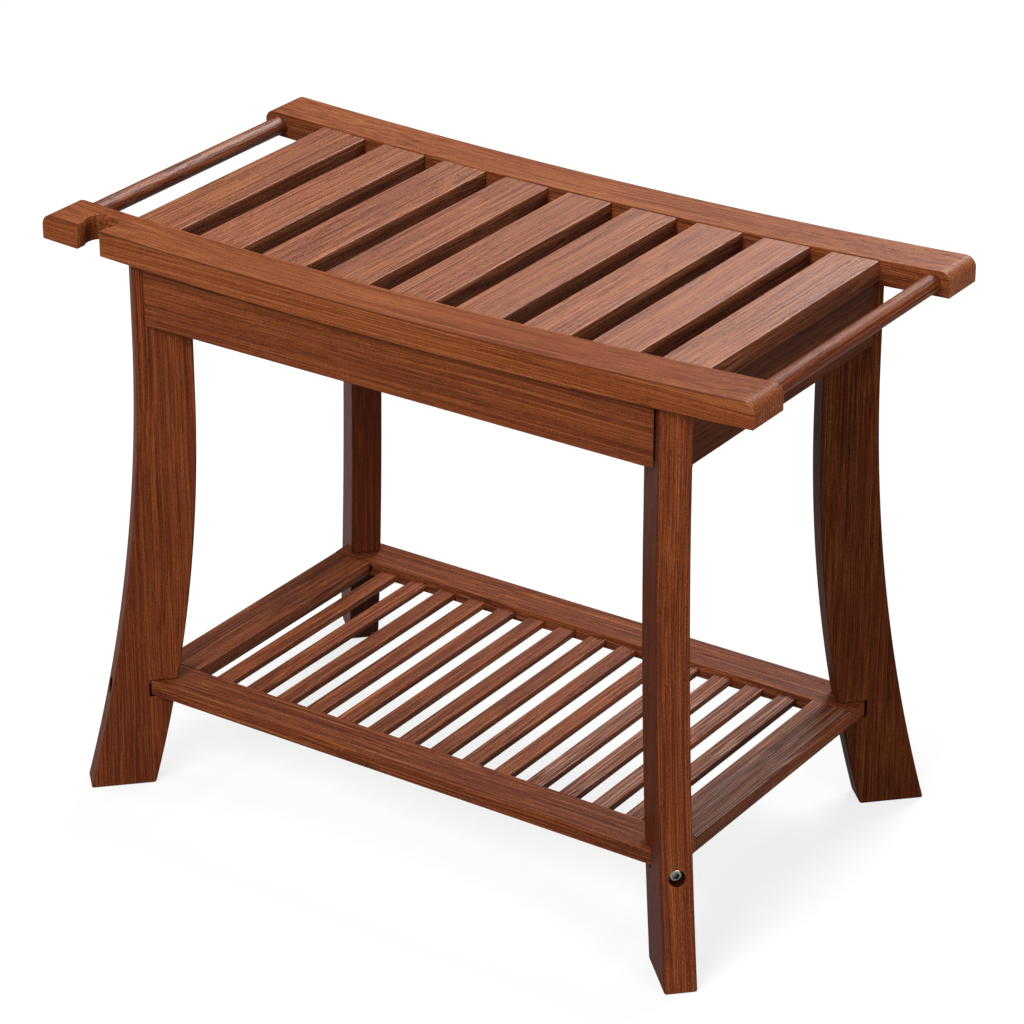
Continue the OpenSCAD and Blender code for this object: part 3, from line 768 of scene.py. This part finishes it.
finishes = {
    "seat_slat": slatTeak, "towel_bar_left": barTeak, "towel_bar_right": dullBarTeak,
    "shelf_front_rail": shelfRailTeak, "shelf_back_rail": shelfRailTeak,
    "shelf_end_left": shelfEndTeak, "shelf_end_right": sheenEndTeak,
    "shelf_slat_11": sheenSlatTeak, "shelf_slat_12": sheenSlatTeak, "shelf_slat_13": sheenSlatTeak,
    "shelf_slat_14": sheenSlatTeak, "shelf_slat": shelfSlatTeak,
    "block_screws": steel, "block": blockTeak, "rail_dowels": dowelBeech, "leg_bolts": steel,
    "leg_washers": steel, "leg_inserts": brass, "shelf_nuts": steel,
}
for name, node in nodes.items():
    for start, material in finishes.items():
        if name.startswith(start):
            node.data.materials.clear()
            node.data.materials.append(material)
            break
print("finishes given")


# studio

studio = {
    "lens": 136.6,
    "camera": (1.45305, -2.13709, 1.48405),
    "azimuth": 34.07,
    "elevation": 25.84,
    "floor": 6.0,
}

cameraData = bpy.data.cameras.new("Camera")
cameraData.lens = studio["lens"]
cameraData.sensor_width = 36
cameraData.clip_end = 50
camera = bpy.data.objects.new("Camera", cameraData)
camera.location = studio["camera"]
camera.rotation_euler = (math.radians(90 - studio["elevation"]), 0, math.radians(studio["azimuth"]))
bpy.context.scene.collection.objects.link(camera)
bpy.context.scene.camera = camera


def whiteForCamera(tree, shader, share, mirrorShare):
    # the camera sees plain white, and so, in part, do the metal's reflections
    path = tree.nodes.new("ShaderNodeLightPath")
    mirrored = maths(tree, "MAXIMUM", path.outputs["Is Glossy Ray"], path.outputs["Is Transmission Ray"])
    seen = maths(tree, "MULTIPLY", path.outputs["Is Camera Ray"], share)
    seen = maths(tree, "MAXIMUM", seen, maths(tree, "MULTIPLY", mirrored, mirrorShare))
    white = tree.nodes.new("ShaderNodeEmission")
    white.inputs["Strength"].default_value = 1.0
    mix = tree.nodes.new("ShaderNodeMixShader")
    link(tree, seen, mix.inputs[0])
    tree.links.new(shader, mix.inputs[1])
    tree.links.new(white.outputs[0], mix.inputs[2])
    return mix.outputs[0]


floorMesh = bpy.data.meshes.new("floor")
bm = bmesh.new()
bmesh.ops.create_grid(bm, x_segments=1, y_segments=1, size=studio["floor"])
bm.to_mesh(floorMesh)
bm.free()
floor = bpy.data.objects.new("floor", floorMesh)
bpy.context.scene.collection.objects.link(floor)
floorPaint, tree, shader = newMaterial("floor paint")
shader.inputs["Roughness"].default_value = 0.9
shader.inputs["Specular IOR Level"].default_value = 0.0
path = tree.nodes.new("ShaderNodeLightPath")
# the floor throws little light back at the bench
shade = mixColours(tree, path.outputs["Is Camera Ray"], (0.10, 0.10, 0.10), (0.95, 0.95, 0.95))
link(tree, shade, shader.inputs["Base Color"])
output = [n for n in tree.nodes if n.type == "OUTPUT_MATERIAL"][0]
# round the bench the floor takes its shadow, and further out it is all white
away = vectorMaths(tree, "LENGTH", tree.nodes.new("ShaderNodeTexCoord").outputs["Object"])
share = spread(tree, away, 0.9, 2.4, 0.75, 1.0)
tree.links.new(whiteForCamera(tree, shader.outputs[0], share, 0.30), output.inputs["Surface"])
floorMesh.materials.append(floorPaint)

world = bpy.data.worlds.new("studio")
bpy.context.scene.world = world
world.use_nodes = True
tree = world.node_tree
tree.nodes.clear()
background = tree.nodes.new("ShaderNodeBackground")
background.inputs["Color"].default_value = (1, 1, 1, 1)
background.inputs["Strength"].default_value = 0.08
output = tree.nodes.new("ShaderNodeOutputWorld")
tree.links.new(whiteForCamera(tree, background.outputs[0], 1.0, 0.18), output.inputs["Surface"])


def areaLight(name, place, aim, size, watts):
    data = bpy.data.lights.new(name, "AREA")
    data.shape = "RECTANGLE"
    data.size, data.size_y = size
    data.energy = watts
    lamp = bpy.data.objects.new(name, data)
    lamp.location = place
    lamp.rotation_euler = (Vector(aim) - Vector(place)).to_track_quat("-Z", "Y").to_euler()
    bpy.context.scene.collection.objects.link(lamp)


areaLight("key", (0.1, -2.5, 2.1), (0, 0, 0.3), (1.5, 1.2), 88)
areaLight("right", (2.6, -0.8, 0.8), (0, 0, 0.35), (1.0, 1.0), 38)
areaLight("top", (-0.8, -0.3, 2.6), (0, 0, 0.4), (1.4, 1.4), 12)
areaLight("back", (-0.1, 2.1, 2.0), (0, 0, 0.45), (1.6, 1.3), 75)
areaLight("left", (-2.6, -0.5, 0.9), (0, 0, 0.3), (1.0, 1.0), 18)

bpy.context.scene.view_settings.view_transform = "Standard"
print("studio set")

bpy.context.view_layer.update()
